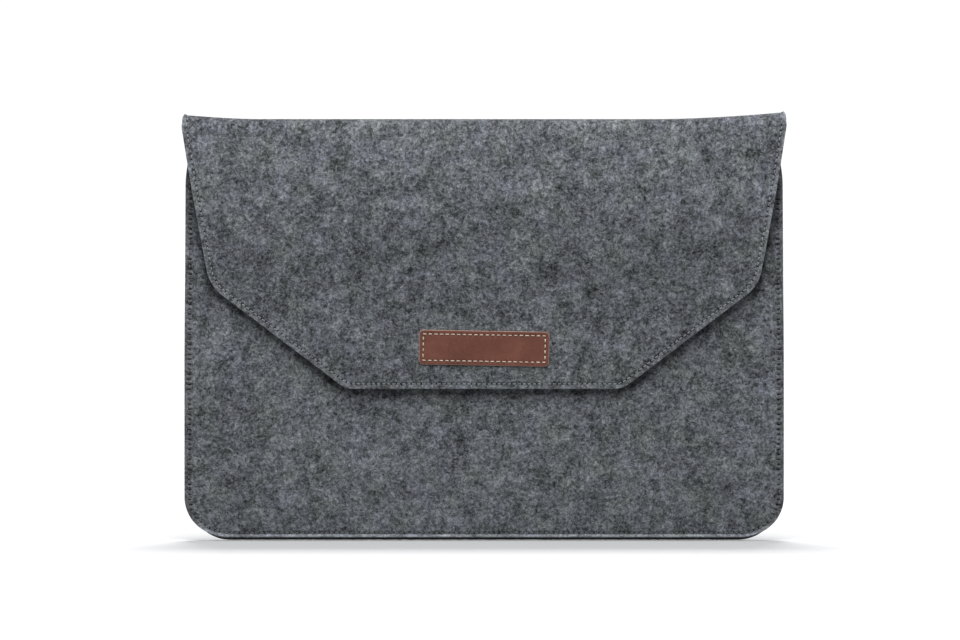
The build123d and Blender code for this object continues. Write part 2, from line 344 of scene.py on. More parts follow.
class Outline:
    """A flat outline, mirrored about its middle. The corners are the right half's, and run
    clockwise from the top of the right side to the middle of the bottom. The top is a straight
    cut. A closed outline's corners start at the middle of its top instead."""

    def __init__(self, corners, radii, step, seam, closed=False):
        right, normals = rounded(corners, radii, step)
        low = right[-1]
        count = max(2, round(2 * low[0] / step))
        bottom = np.array([(low[0] * (1 - 2 * k / count), low[1]) for k in range(1, count)])
        down = np.tile((0.0, -1.0), (len(bottom), 1))
        mirror = np.array((-1, 1))
        self.points = np.vstack([right, bottom, right[::-1] * mirror])
        self.normals = np.vstack([normals, down, normals[::-1] * mirror])
        self.closed = closed
        if closed:  # the top's middle point is there twice
            self.points, self.normals = self.points[:-1], self.normals[:-1]
        self.measure(seam)

    def measure(self, seam):
        """Measures the way along the outline on the path that lies seam inside it."""
        path = self.inset(seam)
        steps = np.linalg.norm(np.diff(path, axis=0), axis=1)
        self.along = np.concatenate([[0], np.cumsum(steps)])
        self.length = self.along[-1]
        if self.closed:
            self.length += np.linalg.norm(path[0] - path[-1])

    def inset(self, distance):
        return self.points - self.normals * distance

    def pitch(self, about):
        """The stitch pitch near about that divides the outline evenly."""
        return self.length / round(self.length / about)

    def area(self):
        x, v = self.points[:, 0], self.points[:, 1]
        return abs(np.sum(x * np.roll(v, -1) - v * np.roll(x, -1))) / 2

    def size(self):
        return tuple(float(a) for a in np.ptp(self.points, axis=0))

    def depth(self, x, v):
        """How far points lie inside the outline, and less than 0 outside. Every sixth point of
        the outline is near enough for this."""
        found, inside = np.full(x.shape, np.inf), np.zeros(x.shape, bool)
        picks = list(range(0, len(self.points), 6)) + [len(self.points) - 1]
        ends = self.points[picks]
        for i in range(len(ends)):
            last = i == len(ends) - 1
            p, q = ends[i], ends[0] if last else ends[i + 1]
            d = q - p
            if p[1] != q[1]:
                crosses = (p[1] > v) != (q[1] > v)
                inside ^= crosses & (x < p[0] + (v - p[1]) * d[0] / d[1])
            if d @ d and not (last and not self.closed):
                t = np.clip(((x - p[0]) * d[0] + (v - p[1]) * d[1]) / (d @ d), 0, 1)
                found = np.minimum(found, np.hypot(x - p[0] - t * d[0], v - p[1] - t * d[1]))
        return np.where(inside, found, -found)


FAR_INSIDE = 1.0  # an inset for points that nothing at the edge reaches


def flat_mesh(outline, insets, spacing):
    """The flat points of a cloth with their inset and place along the outline, its triangles,
    the loop of points round it, and how many of those aren't on its straight top."""
    count = len(outline.points)
    rings = [outline.inset(i) for i in insets]
    points = list(np.vstack(rings))
    inset = list(np.repeat(insets, count))
    along = list(np.tile(outline.along, len(insets)))
    loop = list(range(count))
    low, high = outline.points.min(0), outline.points.max(0)
    if not outline.closed:
        top = high[1]
        reach = rings[-1][0][0]
        steps = max(2, round(2 * reach / spacing))
        loop += [count * (k + 1) - 1 for k in range(1, len(insets))]
        for k in range(1, steps):
            loop.append(len(points))
            points.append(np.array([-reach + 2 * reach * k / steps, top]))
            inset.append(FAR_INSIDE)
            along.append(0.0)
        loop += [count * k for k in range(len(insets) - 1, 0, -1)]
    row = spacing * math.sqrt(0.75)
    grid = []
    for j in range(int((high[1] - low[1]) / row) + 1):
        v = low[1] + j * row
        xs = np.arange(low[0] + (j % 2) * spacing / 2, high[0], spacing)
        grid.append(np.stack([xs, np.full(xs.shape, v)], -1))
    grid = np.vstack(grid)
    keep = outline.depth(grid[:, 0], grid[:, 1]) > insets[-1] + 0.5 * spacing
    if not outline.closed:
        keep &= grid[:, 1] < high[1] - 0.6 * spacing
    grid = grid[keep]
    points = np.vstack([points, grid])
    inset = np.concatenate([inset, np.full(len(grid), FAR_INSIDE)])
    along = np.concatenate([along, np.zeros(len(grid))])
    edges = [(loop[k], loop[(k + 1) % len(loop)]) for k in range(len(loop))]
    made = delaunay_2d_cdt([Vector(p) for p in points / MM], edges, [], 1, 1e-4)
    order = [source[0] for source in made[3]]
    triangles = np.array([[order[i] for i in face] for face in made[2]])
    return points, inset, along, triangles, np.array(loop), count


SHARP_ANGLE = math.radians(62)


def mesh_object(name, vertices, faces, attributes, material):
    mesh = bpy.data.meshes.new(name)
    mesh.from_pydata(vertices.tolist(), [], faces)
    work = bmesh.new()
    work.from_mesh(mesh)
    bmesh.ops.recalc_face_normals(work, faces=work.faces)
    work.to_mesh(mesh)
    work.free()
    for key, values in attributes.items():
        kind, field = ("FLOAT_VECTOR", "vector") if values.ndim == 2 else ("FLOAT", "value")
        made = mesh.attributes.new(key, kind, "POINT")
        made.data.foreach_set(field, values.astype(np.float32).ravel())
    mesh.shade_smooth()
    mesh.set_sharp_from_angle(angle=SHARP_ANGLE)
    mesh.materials.append(material)
    return add_object(name, mesh)


NEAR_EDGE = (0.7 * MM, 2.3 * MM)  # insets between which a border's lightening, partly painted highlight, fades
RAGGED = 0.05  # how uneven a cut edge is, as a share of its rounding


def slab(
    name, material, outline, place, low, high, insets, spacing, edge, dents=None, shade=None
):
    """A closed piece of cloth or leather between heights low and high, its outer edge rounded
    by edge. dents gives how far its outer face and its inner face are pressed in, and shade
    the painted light and shade on its outer face, from x, v and how near the edge a point is."""
    points, inset, along, triangles, loop, count = flat_mesh(outline, insets, spacing)
    outer_dent, inner_dent = dents(inset, along) if dents else (0 * inset, 0 * inset)
    size = len(points)
    flat = [points, points]
    heights = [high - outer_dent, low + inner_dent]
    rim = [np.zeros(size), np.zeros(size)]
    holes = [outer_dent, inner_dent]
    section = [  # the edge's rounding: share of the first inset, and height
        (0.45, high - 0.10 * edge),
        (0.12, high - 0.42 * edge),
        (0.0, high - edge),
        (0.0, (low + high) / 2),
        (0.0, low + 0.5 * edge),
        (0.15, low + 0.15 * edge),
    ]
    out = np.zeros((len(loop), 2))
    out[:count] = outline.normals
    base = points[loop] + out * insets[0]
    ragged = rng.normal(0, RAGGED * edge, len(loop))[:, None]
    for share, height in section:
        flat.append(base - out * (share * insets[0] + ragged))
        heights.append(np.full(len(loop), height))
        rim.append(np.ones(len(loop)))
        holes.append(np.zeros(len(loop)))
    flat, heights = np.vstack(flat), np.concatenate(heights)
    # lighter: painted light and shade on the outer face, with the felt's paler border
    lighter = np.zeros(len(flat))
    if shade:
        near = np.concatenate([1 - ramp(inset, *NEAR_EDGE), 0 * inset])
        near = np.concatenate([near, np.ones(len(flat) - 2 * size)])
        lighter = shade(flat[:, 0], flat[:, 1], near)
    vertices = place(flat[:, 0], flat[:, 1], heights)
    faces = [list(t) for t in triangles.tolist()]
    faces += [list(t) for t in (triangles[:, ::-1] + size).tolist()]
    rows = [loop]
    for k in range(len(section)):
        rows.append(2 * size + len(loop) * k + np.arange(len(loop)))
    rows.append(loop + size)
    for a, b in zip(rows, rows[1:]):
        faces += np.stack([a, np.roll(a, -1), np.roll(b, -1), b], -1).tolist()
    attributes = {
        "cloth_at": np.column_stack([flat, heights]) / MM,
        "rim": np.concatenate(rim),
        "dent": np.concatenate(holes) / MM,
        "lighter": lighter,
    }
    return mesh_object(name, vertices, faces, attributes, material)


THREAD_END = 0.55  # how thick a thread's ends are, as a share


def tubes(name, material, paths, binormals, radius, sides=6):
    """Short threads along paths (count, steps, 3). Each bends in one plane, whose normal is
    its binormal."""
    count, steps = paths.shape[:2]
    tangents = unit(np.gradient(paths, axis=1))
    side = np.repeat(binormals[:, None, :], steps, 1)
    up = np.cross(side, tangents)
    swell = np.ones(steps)
    swell[0] = swell[-1] = THREAD_END
    rings = []
    for k in range(sides):
        a = 2 * math.pi * k / sides
        out = side * math.cos(a) + up * math.sin(a)
        rings.append(paths + out * radius * swell[None, :, None])
    vertices = np.stack(rings, 2).reshape(-1, 3)
    faces = []
    base = np.arange(count)[:, None] * steps * sides
    for i in range(steps - 1):
        for k in range(sides):
            n = (k + 1) % sides
            quad = [i * sides + k, i * sides + n, (i + 1) * sides + n, (i + 1) * sides + k]
            faces += (base + np.array(quad)).tolist()
    for cap in (list(range(sides)), [(steps - 1) * sides + k for k in range(sides)]):
        faces += (base + np.array(cap)).tolist()
    along = np.tile(np.repeat(np.arange(steps) / (steps - 1), sides), count)
    which = np.repeat(np.arange(count), steps * sides)
    around = np.tile(np.arange(sides) / sides, count * steps)
    which = which * 0.37  # so that each thread lies elsewhere in the noise
    attributes = {"thread_at": np.column_stack([along, around, which])}
    return mesh_object(name, vertices, faces, attributes, material)


STITCH_STEPS = 7


def arch(t):
    """A stitch's height from -1 to 1 along it, in thread radii. Its ends dive into the cloth."""
    return 0.75 - 2.6 * np.abs(t) ** 5


def stitches(name, material, place, x, v, h, side, radius):
    """Stitches along rows of flat points. side is 1 above the cloth, -1 below."""
    paths = place(x, v, h)
    up = place(x, v, h + side * 0.1 * MM) - paths
    binormal = unit(np.cross(paths[:, -1] - paths[:, 0], up[:, STITCH_STEPS // 2]))
    return tubes(name, material, paths, binormal, radius)


def stitch_row(
    name, material, outline, place, inset, level, side, pitch, length, radius, keep=None
):
    """A row of stitches along an outline, on the face at height level. keep says from v which
    of them are there."""
    pitch = outline.pitch(pitch)
    path = outline.inset(inset)
    along = outline.along
    if outline.closed:
        path, along = np.vstack([path, path[:1]]), np.append(along, outline.length)
    centres = (np.arange(round(outline.length / pitch)) + 0.5) * pitch
    if keep is not None:
        centres = centres[keep(np.interp(centres, along, path[:, 1]))]
    t = np.linspace(-0.5, 0.5, STITCH_STEPS)
    lengths = length * rng.normal(1, 0.05, (len(centres), 1))
    at = centres[:, None] + t * lengths
    x, v = np.interp(at, along, path[:, 0]), np.interp(at, along, path[:, 1])
    h = level + side * (radius * arch(2 * t) + rng.normal(0, 0.06 * radius, (len(centres), 1)))
    return stitches(name, material, place, x, v, h, side, radius)


# ---- materials


class Shader:
    """A material with one Principled shader, and short ways to add nodes to it."""

    def __init__(self, name, specular, **constants):
        self.material = bpy.data.materials.new(name)
        self.material.use_nodes = True
        self.nodes, self.links = self.material.node_tree.nodes, self.material.node_tree.links
        self.nodes.clear()
        self.shader = self.nodes.new("ShaderNodeBsdfPrincipled")
        self.surface = self.nodes.new("ShaderNodeOutputMaterial").inputs["Surface"]
        self.links.new(self.shader.outputs["BSDF"], self.surface)
        self.shader.inputs["Specular IOR Level"].default_value = specular
        for key, value in constants.items():
            self.shader.inputs[key.replace("_", " ")].default_value = value

    def feed(self, socket, value):
        if isinstance(value, bpy.types.NodeSocket):
            self.links.new(value, socket)
        elif socket.type == "RGBA":
            socket.default_value = (*value, 1)
        else:
            socket.default_value = value

    def set(self, name, value):
        self.feed(self.shader.inputs[name], value)

    def attribute(self, name, output="Fac"):
        node = self.nodes.new("ShaderNodeAttribute")
        node.attribute_name = name
        return node.outputs[output]

    def sum(self, operation, a, b=0.5, c=0.5):
        node = self.nodes.new("ShaderNodeMath")
        node.operation = operation
        for socket, value in zip(node.inputs, (a, b, c)):
            self.feed(socket, value)
        return node.outputs[0]

    def vector(self, operation, a, b):
        node = self.nodes.new("ShaderNodeVectorMath")
        node.operation = operation
        self.feed(node.inputs[0], a)
        self.feed(node.inputs["Scale" if operation == "SCALE" else 1], b)
        return node.outputs["Vector"]

    def noise(self, vector, size, detail=2.0, roughness=0.55, output="Fac"):
        """Noise whose features are about size across, in the vector's own units."""
        node = self.nodes.new("ShaderNodeTexNoise")
        self.feed(node.inputs["Vector"], vector)
        node.inputs["Scale"].default_value = 1 / size
        node.inputs["Detail"].default_value = detail
        node.inputs["Roughness"].default_value = roughness
        return node.outputs[output]

    def turned(self, vector, angle, size):
        """The vector turned by angle, then divided by size, which stretches a texture."""
        node = self.nodes.new("ShaderNodeMapping")
        node.vector_type = "TEXTURE"
        self.feed(node.inputs["Vector"], vector)
        node.inputs["Rotation"].default_value = (0, 0, math.radians(angle))
        node.inputs["Scale"].default_value = size
        return node.outputs["Vector"]

    def spread(self, value, low, high, to_low=0.0, to_high=1.0):
        node = self.nodes.new("ShaderNodeMapRange")
        node.interpolation_type = "SMOOTHSTEP"
        for socket, number in zip(node.inputs, (value, low, high, to_low, to_high)):
            self.feed(socket, number)
        return node.outputs[0]

    def mix(self, share, a, b):
        node = self.nodes.new("ShaderNodeMix")
        node.data_type = "RGBA"
        self.feed(node.inputs["Factor"], share)
        colours = [s for s in node.inputs if s.type == "RGBA"]
        self.feed(colours[0], a)
        self.feed(colours[1], b)
        return next(s for s in node.outputs if s.type == "RGBA")

    def ramp(self, value, stops):
        node = self.nodes.new("ShaderNodeValToRGB")
        self.feed(node.inputs[0], value)
        elements = node.color_ramp.elements
        while len(elements) < len(stops):
            elements.new(0.5)
        for element, (place, colour) in zip(elements, stops):
            element.position = place
            element.color = (*colour, 1)
        return node.outputs["Color"]

    def bump(self, height, distance, strength):
        node = self.nodes.new("ShaderNodeBump")
        node.inputs["Strength"].default_value = strength
        node.inputs["Distance"].default_value = distance
        self.feed(node.inputs["Height"], height)
        return node.outputs["Normal"]

    def split(self, vector):
        """The x, y and z of a vector."""
        node = self.nodes.new("ShaderNodeSeparateXYZ")
        self.feed(node.inputs[0], vector)
        return node.outputs


def fibres(shader, at, length, width, low, high, turns):
    """Long thin streaks in several directions, the strongest showing at each point."""
    found = None
    for i, angle in enumerate(turns):
        moved = shader.vector("ADD", at, (i * 37.0, i * 11.0, i * 5.0))
        streak = shader.noise(shader.turned(moved, angle, (length, width, 2.5)), 1.0, 1.2, 0.5)
        streak = shader.spread(streak, low, high)
        found = streak if found is None else shader.sum("MAXIMUM", found, streak)
    return found


FELT_LAYERS = (  # size in millimetres, how much it darkens and lightens, and its detail
    (26.0, 0.7, 1.0),
    (9.5, 1.25, 1.0),
    (4.2, 1.5, 1.0),
    (1.9, 2.35, 1.0),
    (0.95, 1.4, 0.0),
)
FELT_TINTS = [
    (0.36, (0.0925, 0.1005, 0.1035)),
    (0.50, (0.0925, 0.0995, 0.1080)),
    (0.64, (0.0935, 0.0990, 0.1140)),
]
FELT_LIGHT, FELT_DARK = 0.54, -0.62  # how much the two kinds of fibre change the tone
FELT_RIM, FELT_HOLE_SHADE = 0.35, -1.3  # the same for cut edges, and painted shade in needle holes


def felt_material():
    """Heather wool felt. Its tone is about 0 on average, and its colour is a tint times the
    square of 1 + tone / 2. The attribute lighter adds painted light and shade to the tone,
    near borders and low down, and the needle holes get painted shade. The attribute lighter
    is added to the tone, near borders and low down, to follow the photo's shading."""
    s = Shader("felt", 0.12, Roughness=0.92, Sheen_Weight=0.08, Sheen_Roughness=0.55)
    at = s.attribute("cloth_at", "Vector")
    drift = s.vector("SUBTRACT", s.noise(at, 5.0, 1.0, 0.5, "Color"), (0.5, 0.5, 0.5))
    bent = s.vector("ADD", at, s.vector("SCALE", drift, 2.6))
    tone = 0.0
    for i, (size, share, detail) in enumerate(FELT_LAYERS):
        moved = s.vector("ADD", bent, (i * 31.0, i * 17.0, 0.0))
        part = s.sum("SUBTRACT", s.noise(moved, size, detail, 0.5), 0.5)
        tone = s.sum("MULTIPLY_ADD", part, share, tone)
    light = fibres(s, bent, 2.6, 0.62, 0.58, 0.74, (4, 49, 95, 141))
    dark = fibres(s, bent, 2.8, 0.7, 0.57, 0.73, (22, 71, 118, 166))
    tone = s.sum("MULTIPLY_ADD", light, FELT_LIGHT, tone)
    tone = s.sum("MULTIPLY_ADD", dark, FELT_DARK, tone)
    tone = s.sum("MULTIPLY_ADD", s.attribute("rim"), FELT_RIM, tone)
    # painted light and shade, from the attribute lighter
    tone = s.sum("ADD", s.attribute("lighter"), tone)
    # painted shade in the seams' needle holes and dents
    hole = s.spread(s.attribute("dent"), 0.2, 0.75)
    tone = s.sum("MULTIPLY_ADD", hole, FELT_HOLE_SHADE, tone)
    root = s.sum("MAXIMUM", s.sum("MULTIPLY_ADD", tone, 0.5, 1.0), 0.2)
    level = s.sum("MULTIPLY", root, root)
    tint = s.ramp(s.noise(bent, 17.0, 2.0, 0.6), FELT_TINTS)
    s.set("Base Color", s.vector("SCALE", tint, level))
    fine = s.noise(bent, 1.4, 2.0, 0.6)
    height = s.sum("ADD", s.sum("MULTIPLY", light, 0.6), s.sum("MULTIPLY", fine, 0.9))
    height = s.sum("MULTIPLY_ADD", s.noise(bent, 4.5, 1.0), 1.2, height)
    s.set("Normal", s.bump(height, 0.35 * MM, 0.8))
    return s.material


def lining_material():
    """Brushed dark knit, with painted shade where its cut edge shows between the felts."""
    s = Shader("lining", 0.1, Roughness=0.95, Sheen_Weight=0.25, Sheen_Roughness=0.5)
    at = s.attribute("cloth_at", "Vector")
    nap = fibres(s, at, 4.0, 0.35, 0.5, 0.7, (84, 96))
    blot = s.noise(at, 14.0, 3.0, 0.6)
    colour = s.ramp(blot, [(0.35, (0.030, 0.031, 0.035)), (0.65, (0.055, 0.057, 0.063))])
    colour = s.mix(s.sum("MULTIPLY", nap, 0.5), colour, (0.085, 0.087, 0.094))
    # painted shade: the cut edge, seen in the gap under the felt, is made nearly black
    colour = s.mix(s.sum("MULTIPLY", s.attribute("rim"), 0.75), colour, (0.012, 0.012, 0.013))
    s.set("Base Color", colour)
    s.set("Normal", s.bump(s.sum("ADD", nap, s.noise(at, 0.7)), 0.2 * MM, 0.7))
    return s.material


def thread_material(name, dark, light, roughness):
    """Twisted sewing thread."""
    s = Shader(name, 0.35, Roughness=roughness, Sheen_Weight=0.2, Sheen_Roughness=0.4)
    along, around, which = s.split(s.attribute("thread_at", "Vector"))
    turns = s.sum("MULTIPLY_ADD", along, 3.0, around)
    ply = s.sum("SINE", s.sum("MULTIPLY", turns, 4 * math.pi))
    lone = s.noise(which, 0.9)
    share = s.sum("MULTIPLY_ADD", ply, 0.3, s.spread(lone, 0.3, 0.7, 0.3, 0.7))
    s.set("Base Color", s.mix(share, dark, light))
    s.set("Normal", s.bump(ply, 0.08 * MM, 0.8))
    return s.material


def tape_material(name, colour, light):
    """Narrow woven nylon tape."""
    s = Shader(name, 0.3, Roughness=0.7, Sheen_Weight=0.15, Sheen_Roughness=0.4)
    at = s.attribute("cloth_at", "Vector")
    across, up, _ = s.split(at)
    warp = s.sum("SINE", s.sum("MULTIPLY", across, 2 * math.pi / 0.8))
    weft = s.sum("SINE", s.sum("MULTIPLY", up, 2 * math.pi / 0.6))
    weave = s.sum("MULTIPLY", warp, weft)
    share = s.sum("MULTIPLY_ADD", weave, 0.3, s.spread(s.noise(at, 1.2), 0.3, 0.7, 0.2, 0.6))
    s.set("Base Color", s.mix(share, colour, light))
    s.set("Normal", s.bump(weave, 0.12 * MM, 0.8))
    return s.material


LEATHER_COLOURS = [
    (0.30, (0.094, 0.0315, 0.0205)),
    (0.50, (0.122, 0.0410, 0.0265)),
    (0.70, (0.152, 0.0550, 0.0370)),
]


def leather_material():
    """Brown leather with a fine grain, lighter at its cut edge, with painted shade in its stitch
    dents.
    """
    s = Shader("leather", 0.22)
    at = s.attribute("cloth_at", "Vector")
    cells = s.nodes.new("ShaderNodeTexVoronoi")
    cells.feature = "DISTANCE_TO_EDGE"
    cells.inputs["Scale"].default_value = 1 / 0.75
    bent = s.vector("ADD", at, s.vector("SCALE", s.noise(at, 1.6, 2, 0.5, "Color"), 0.8))
    s.feed(cells.inputs["Vector"], bent)
    crease = s.spread(cells.outputs["Distance"], 0.0, 0.16, 1.0, 0.0)
    broad = s.noise(at, 12.0, 4.0, 0.6)
    colour = s.ramp(broad, LEATHER_COLOURS)
    colour = s.mix(s.sum("MULTIPLY", crease, 0.35), colour, (0.06, 0.022, 0.017))
    colour = s.mix(s.spread(s.noise(at, 0.9, 2), 0.55, 0.8, 0.0, 0.3), colour, (0.26, 0.12, 0.09))
    rim = s.sum("MULTIPLY", s.attribute("rim"), s.spread(s.noise(at, 0.8), 0.3, 0.7, 0.4, 0.9))
    colour = s.mix(rim, colour, (0.38, 0.28, 0.23))
    # painted shade in the stitch dents along the label's seam
    colour = s.mix(s.spread(s.attribute("dent"), 0.08, 0.4, 0.0, 0.6), colour, (0.03, 0.012, 0.01))
    s.set("Base Color", colour)
    s.set("Roughness", s.spread(broad, 0.3, 0.7, 0.5, 0.64))
    s.set("Normal", s.bump(s.sum("SUBTRACT", s.noise(at, 0.5), crease), 0.09 * MM, 0.7))
    return s.material


FELT_LOOK = felt_material()
LINING_LOOK = lining_material()
GREY_THREAD = thread_material("grey_thread", (0.035, 0.037, 0.04), (0.16, 0.165, 0.18), 0.5)
# a lighter copy of the grey thread: painted highlight, as if the thread caught the light
LIT_THREAD = thread_material("grey_thread_painted_highlight", (0.08, 0.083, 0.09), (0.35, 0.36, 0.38), 0.45)
BLACK_THREAD = thread_material("black_thread", (0.008, 0.008, 0.009), (0.05, 0.05, 0.055), 0.5)
CREAM_THREAD = thread_material("cream_thread", (0.36, 0.29, 0.22), (0.76, 0.67, 0.55), 0.6)
LOOP_TAPE = tape_material("loop_tape", (0.016, 0.016, 0.018), (0.05, 0.05, 0.055))
HOOK_TAPE = tape_material("hook_tape", (0.012, 0.012, 0.013), (0.04, 0.04, 0.043))
LEATHER = leather_material()

# ---- pieces


def stitched(pitch, at, depth, width):
    """Dents along a seam, deepest at the holes."""

    def dents(inset, along):
        across = np.exp(-(((inset - at) / width) ** 2))
        hole = np.cos(math.pi * along / pitch) ** 6
        pressed = depth * across * (0.35 + 0.65 * hole)
        return pressed, 0.3 * pressed  # the face and the back of the cloth

    return dents


def outline_of(corners, radii, inside=0.0, step=SEAM_PITCH / 6):
    """An outline cut smaller by inside, except at its straight top."""
    made = Outline(corners, radii, step, SEAM_INSET)
    made.points = made.points - made.normals * inside
    return made


def front_corners(half, bottom):
    return [(half, MOUTH_Z), (half, bottom), (0, bottom)]


BACK_CORNERS = [
    (FOLD_HALF, S_SPLIT),
    (FOLD_HALF, S_REAR),
    (POUCH_HALF, S_REAR - BACK_TAPER),
    (POUCH_HALF, BACK_LOW),
    (0, BACK_LOW),
]
BACK_RADII = [*BACK_TAPER_RADII, CORNER_RADIUS]
FLAP_CORNERS = [
    (FOLD_HALF, -S_SPLIT),
    (FOLD_HALF, -S_FLAP),
    (SHOULDER[0], flap_v(SHOULDER[1])),
    (TIP_HALF, flap_v(TIP_Z)),
    (0, flap_v(TIP_Z)),
]
FLAP_RADII = [FLAP_TOP_RADIUS, SHOULDER_RADIUS, TIP_RADIUS]
FACE_RINGS = np.array([EDGE_ROUND / MM, 1.2, 1.8, 2.3, 2.65, 3.0, 3.35, 3.7, 4.3, 5.1]) * MM
BACKING_RINGS = np.array([0.4, 1.6, 3.0, 4.4]) * MM

back_outline = outline_of(BACK_CORNERS, BACK_RADII)
flap_outline = outline_of(FLAP_CORNERS, FLAP_RADII)
front_outline = outline_of(
    front_corners(POUCH_HALF - FRONT_TRIM, FRONT_LOW), [CORNER_RADIUS - FRONT_LOW]
)
COARSE = 1.5 * MM  # step of the linings' outlines
back_backing = outline_of(BACK_CORNERS, BACK_RADII, 0.3 * MM, COARSE)
flap_backing = outline_of(FLAP_CORNERS, FLAP_RADII, 0.5 * MM, COARSE)
front_backing = outline_of(
    front_corners(POUCH_HALF - 0.2 * MM, 0.4 * MM), [CORNER_RADIUS], 0.0, COARSE
)

HAIR = 0.02 * MM  # keeps the faces of felt and lining apart
DENT_WIDTH = 0.62 * MM


def cloth(name, outline, place, spacing, seam, slot, shade=None):
    """A sheet of felt with a seam pressed in to the depth seam, or one of lining."""
    if slot == "felt":
        look, low, high, rings = FELT_LOOK, 0.0, FELT, FACE_RINGS
    else:
        look, low, high, rings = LINING_LOOK, -LINING, -HAIR, BACKING_RINGS
    dents = None
    if seam:
        dents = stitched(outline.pitch(SEAM_PITCH), SEAM_INSET, seam, DENT_WIDTH)
    made = slab(name, look, outline, place, low, high, rings, spacing, EDGE_ROUND, dents, shade)
    outline.size()
    outline.area()
    return made


def flap_painted_light(x, v, near):
    """Lighter at the border, partly the felt's paler edge and partly a painted highlight, and
    painted shade low on the flap.
    """
    return 0.3 * near - 0.10 * ramp(-v, S_FLAP + 0.03, S_FLAP + 0.10)


def front_painted_light(x, v, near):
    """Lighter at the border, partly the felt's paler edge and partly a painted highlight, most at
    the bottom, where it is painted light from the floor below, and painted light low in the
    middle.
    """
    border = near * (0.1 + 0.85 * (1 - ramp(v, 0.004, 0.02)))
    return border + 0.12 * (1 - ramp(v, 0.02, 0.09)) * (1 - ramp(np.abs(x), 0.10, 0.165))


back = cloth("back_felt_cloth", back_outline, on_back, 2.6 * MM, 0.95 * MM, "felt")
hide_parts("back_felt", "rear_crease_felt")
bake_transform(back)

flap = cloth(
    "flap_felt_cloth", flap_outline, on_flap, 2.2 * MM, 0.8 * MM, "felt", flap_painted_light
)
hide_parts("flap_felt", "front_crease_felt", "fold_felt")
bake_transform(flap)

front = cloth(
    "front_felt_cloth", front_outline, on_front, 2.4 * MM, 0.75 * MM, "felt", front_painted_light
)
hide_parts("front_felt")
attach(front, "pouch")

back_lining = cloth("back_lining_cloth", back_backing, on_back, 3.5 * MM, 0, "lining")
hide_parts("back_lining", "rear_crease_lining")
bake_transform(back_lining)

flap_lining = cloth("flap_lining_cloth", flap_backing, on_flap, 3.0 * MM, 0, "lining")
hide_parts("flap_lining", "front_crease_lining", "fold_lining")
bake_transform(flap_lining)

front_lining = cloth("front_lining_cloth", front_backing, on_front, 3.5 * MM, 0, "lining")
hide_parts("front_lining")
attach(front_lining, "pouch")

# ---- seams

THREAD = 0.3 * MM  # radius
SUNK = 0.38 * MM  # how far the seams' thread has pulled into the felt
STITCH_LENGTH = SEAM_PITCH - 0.75 * MM
MOUTH_SHARE = 0.74  # length of the mouth's stitches, as a share of their pitch


def seam_row(name, outline, place, level, side, nodes, keep=None, thread=GREY_THREAD):
    made = stitch_row(
        name, thread, outline, place, SEAM_INSET, level, side, SEAM_PITCH, STITCH_LENGTH,
        THREAD, keep,
    )
    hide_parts(*nodes)
    return made


made = seam_row(
    "back_seam_stitches", back_outline, on_back, FELT - SUNK, 1, ["back_seam_thread"]
)
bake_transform(made)
# the flap's outer seam uses the painted-highlight copy of the grey thread
made = seam_row(
    "flap_outer_stitches", flap_outline, on_flap, FELT - SUNK, 1,
    ["flap_outer_thread", "fold_thread"], thread=LIT_THREAD,
)
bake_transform(made)
made = seam_row(
    "flap_inner_stitches", flap_outline, on_flap, -LINING + 0.1 * MM, -1, ["flap_inner_thread"]
)
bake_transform(made)
made = seam_row(
    "front_seam_stitches", front_outline, on_front, FELT - SUNK, 1, ["front_seam_thread"],
    keep=lambda v: v < MOUTH_Z - 4.5 * MM,  # the mouth's own seam is above
)
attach(made, "pouch")

# a straight row across the front panel, under its upper edge
half = POUCH_HALF - FRONT_TRIM - SEAM_INSET
count = round(2 * half / SEAM_PITCH)
centres = (np.arange(count) + 0.5) / count
t = np.linspace(-0.5, 0.5, STITCH_STEPS)
x = -half + 2 * half * (centres[:, None] + MOUTH_SHARE * t / count)
v = MOUTH_Z - SEAM_INSET + 0 * x
h = FELT - 0.05 * MM + THREAD * arch(2 * t) + 0 * x
mouth = stitches("mouth_stitches", GREY_THREAD, on_front, x, v, h, 1, THREAD)
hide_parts("mouth_thread")
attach(mouth, "pouch")

# ---- leather label

LABEL_X = (LABEL_BOX[0].x + LABEL_BOX[1].x) / 2
TILT = math.radians(1)
LABEL_HALF = (37.5 * MM, 10 * MM)
LABEL_FACE = FELT + 1.1 * MM  # its outer face, 0.1 mm of its thickness being in the felt
LABEL_STITCH_INSET = 2.4 * MM
LABEL_STITCHES = 52
LABEL_RINGS = np.array([0.45, 1.0, 1.5, 1.9, 2.3, 2.7, 3.2, 3.9]) * MM


def box_outline(half, height, radius, step, seam):
    """A closed rectangle with rounded corners, round the origin."""
    corners = [(0, height), (half, height), (half, -height), (0, -height)]
    return Outline(corners, [radius, radius], step, seam, closed=True)


def on_label(u, w, h):
    x = LABEL_X + u * math.cos(TILT) + w * math.sin(TILT)
    z = LABEL_Z - u * math.sin(TILT) + w * math.cos(TILT)
    return on_flap(x, flap_v(z), h)


label_outline = box_outline(*LABEL_HALF, 2.5 * MM, 0.55 * MM, LABEL_STITCH_INSET)
LABEL_PITCH = label_outline.length / LABEL_STITCHES
label = slab(
    "leather_label_hide", LEATHER, label_outline, on_label, FELT - 0.1 * MM, LABEL_FACE,
    LABEL_RINGS, 1.4 * MM, 0.4 * MM,
    stitched(LABEL_PITCH, LABEL_STITCH_INSET, 0.32 * MM, 0.55 * MM),
)
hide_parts("leather_label")
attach(label, "flap")

label_stitches = stitch_row(
    "label_cream_stitches", CREAM_THREAD, label_outline, on_label, LABEL_STITCH_INSET,
    LABEL_FACE - 0.06 * MM, 1, LABEL_PITCH, 2.1 * MM, 0.33 * MM,
)
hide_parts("label_stitches")
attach(label_stitches, "flap")

# ---- hook and loop patches


